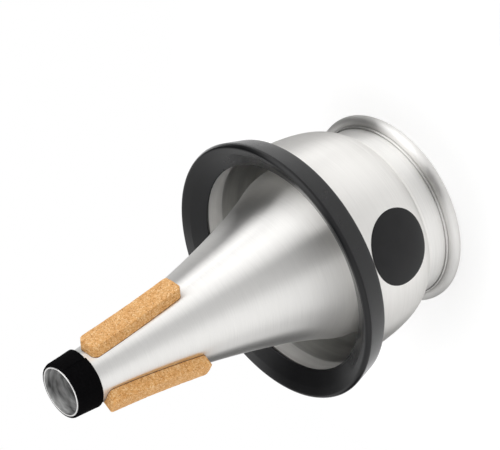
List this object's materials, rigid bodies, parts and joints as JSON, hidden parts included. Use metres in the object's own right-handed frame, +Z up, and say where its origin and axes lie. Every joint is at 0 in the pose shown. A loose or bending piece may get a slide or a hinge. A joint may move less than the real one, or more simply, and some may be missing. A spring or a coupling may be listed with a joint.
{
  "type": "trumpet cup mute",
  "caption": "Spun metal cup mute for a trumpet: flared cone with cork strips and a felt neck band, and a cup with a rubber edge that slides and turns on the drum.",
  "frame": {"origin": "centre of the flat foot of the rolled bead, on the mute's axis, where it stands on its rear end", "axes": "+Z up the mute's axis from the closed rear end to the open small end; the cork strips stand at -42, -162 and 78 degrees from +X"},
  "size_m": [0.1146, 0.1146, 0.1785],
  "materials": {
    "body_metal": "brushed round the axis",
    "end_metal": "polished",
    "cup_metal": "brushed round the axis",
    "ring_rubber": "satin",
    "lining_felt": "felt",
    "cork": "sanded cork",
    "band_felt": "short pile felt"
  },
  "bodies": {
    "mute_body": {"body": "body_metal", "end_plate": "end_metal", "cork_strip_1": "cork", "cork_strip_2": "cork", "cork_strip_3": "cork", "neck_band": "band_felt"},
    "cup_slider": {"cup_lining": "lining_felt"},
    "cup": {"cup_shell": "cup_metal", "cup_edge_ring": "ring_rubber"}
  },
  "joints": [
    {"name": "cup_slide", "type": "slide", "parent": "mute_body", "child": "cup_slider", "axis": [0, 0, 1], "range_m": [-0.0082, 0.016]},
    {"name": "cup_turn", "type": "hinge", "parent": "cup_slider", "child": "cup", "pos_m": [0, 0, 0.03], "axis": [0, 0, 1], "continuous": true}
  ]
}
